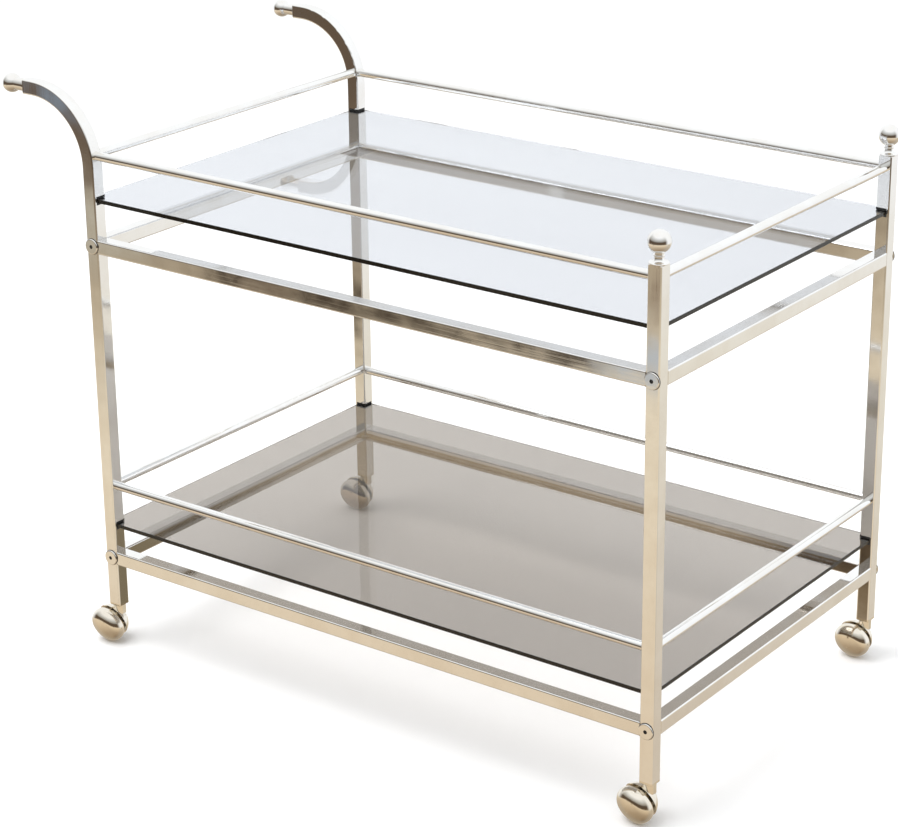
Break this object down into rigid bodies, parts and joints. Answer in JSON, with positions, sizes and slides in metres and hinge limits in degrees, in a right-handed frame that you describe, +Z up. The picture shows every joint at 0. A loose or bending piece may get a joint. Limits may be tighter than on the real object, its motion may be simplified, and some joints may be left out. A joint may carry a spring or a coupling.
{
  "type": "bar cart",
  "caption": "Chrome square-tube bar cart on wheels, with smoked glass shelves, gallery rods, curved push handles and swivel ball casters.",
  "frame": {"origin": "on the floor, under the centre of the rectangle that the four posts make", "axes": "+X towards the front end, which carries the finials; +Y towards the left of a person who pushes the cart by its handles; +Z up"},
  "size_m": [1.0306, 0.5915, 0.7837],
  "materials": {
    "frame_chrome": "bright chrome plate over square and round steel tube",
    "fittings_chrome": "polished chrome plate on turned balls, caps and bolts",
    "caster_chrome": "warm polished plate on pressed steel",
    "smoked_glass": "smoke-tinted float glass with ground edges",
    "pad_rubber": "matt black",
    "plain_steel": "plain machined steel inside the joints"
  },
  "bodies": {
    "cart_frame": {"front_post_right": "frame_chrome", "rear_post_right": "frame_chrome", "upper_side_rail_right": "frame_chrome", "lower_side_rail_right": "frame_chrome", "upper_gallery_rod_right": "frame_chrome", "lower_gallery_rod_right": "frame_chrome", "front_post_left": "frame_chrome", "rear_post_left": "frame_chrome", "upper_side_rail_left": "frame_chrome", "lower_side_rail_left": "frame_chrome", "upper_gallery_rod_left": "frame_chrome", "lower_gallery_rod_left": "frame_chrome", "upper_cross_rail_front": "frame_chrome", "lower_cross_rail_front": "frame_chrome", "upper_gallery_rod_front": "frame_chrome", "lower_gallery_rod_front": "frame_chrome", "upper_cross_rail_rear": "frame_chrome", "lower_cross_rail_rear": "frame_chrome", "upper_gallery_rod_rear": "frame_chrome", "lower_gallery_rod_rear": "frame_chrome", "upper_glass_shelf": "smoked_glass", "upper_glass_pads": "pad_rubber", "upper_frame_bolts": "fittings_chrome", "upper_rail_plugs": "plain_steel", "lower_glass_shelf": "smoked_glass", "lower_glass_pads": "pad_rubber", "lower_frame_bolts": "fittings_chrome", "lower_rail_plugs": "plain_steel", "front_post_caps": "fittings_chrome", "handle_caps": "fittings_chrome", "finial_right": "fittings_chrome", "handle_ball_right": "fittings_chrome", "finial_left": "fittings_chrome", "handle_ball_left": "fittings_chrome", "caster_socket_front_right": "caster_chrome", "caster_socket_front_left": "caster_chrome", "caster_socket_rear_right": "caster_chrome", "caster_socket_rear_left": "caster_chrome"},
    "swivel_front_right": {"caster_stem_front_right": "plain_steel", "caster_hood_front_right": "caster_chrome", "caster_axle_front_right": "plain_steel"},
    "wheel_front_right": {"caster_wheel_front_right": "caster_chrome", "caster_dome_front_right": "caster_chrome"},
    "swivel_front_left": {"caster_stem_front_left": "plain_steel", "caster_hood_front_left": "caster_chrome", "caster_axle_front_left": "plain_steel"},
    "wheel_front_left": {"caster_wheel_front_left": "caster_chrome", "caster_dome_front_left": "caster_chrome"},
    "swivel_rear_right": {"caster_stem_rear_right": "plain_steel", "caster_hood_rear_right": "caster_chrome", "caster_axle_rear_right": "plain_steel"},
    "wheel_rear_right": {"caster_wheel_rear_right": "caster_chrome", "caster_dome_rear_right": "caster_chrome"},
    "swivel_rear_left": {"caster_stem_rear_left": "plain_steel", "caster_hood_rear_left": "caster_chrome", "caster_axle_rear_left": "plain_steel"},
    "wheel_rear_left": {"caster_wheel_rear_left": "caster_chrome", "caster_dome_rear_left": "caster_chrome"}
  },
  "joints": [
    {"name": "caster_swivel_front_right", "type": "hinge", "parent": "cart_frame", "child": "swivel_front_right", "pos_m": [0.4335, -0.273, 0.06], "axis": [0, 0, 1], "continuous": true},
    {"name": "wheel_spin_front_right", "type": "hinge", "parent": "swivel_front_right", "child": "wheel_front_right", "pos_m": [0.42093, -0.28094, 0.0258], "axis": [-0.1642, -0.9312, -0.3256], "continuous": true},
    {"name": "caster_swivel_front_left", "type": "hinge", "parent": "cart_frame", "child": "swivel_front_left", "pos_m": [0.4335, 0.273, 0.06], "axis": [0, 0, 1], "continuous": true},
    {"name": "wheel_spin_front_left", "type": "hinge", "parent": "swivel_front_left", "child": "wheel_front_left", "pos_m": [0.42199, 0.26359, 0.0258], "axis": [-0.0495, -0.9442, -0.3256], "continuous": true},
    {"name": "caster_swivel_rear_right", "type": "hinge", "parent": "cart_frame", "child": "swivel_rear_right", "pos_m": [-0.4335, -0.273, 0.06], "axis": [0, 0, 1], "continuous": true},
    {"name": "wheel_spin_rear_right", "type": "hinge", "parent": "swivel_rear_right", "child": "wheel_rear_right", "pos_m": [-0.44501, -0.28241, 0.0258], "axis": [-0.0495, -0.9442, -0.3256], "continuous": true},
    {"name": "caster_swivel_rear_left", "type": "hinge", "parent": "cart_frame", "child": "swivel_rear_left", "pos_m": [-0.4335, 0.273, 0.06], "axis": [0, 0, 1], "continuous": true},
    {"name": "wheel_spin_rear_left", "type": "hinge", "parent": "swivel_rear_left", "child": "wheel_rear_left", "pos_m": [-0.4445, 0.263, 0.0258], "axis": [0, -0.9455, -0.3256], "continuous": true}
  ]
}
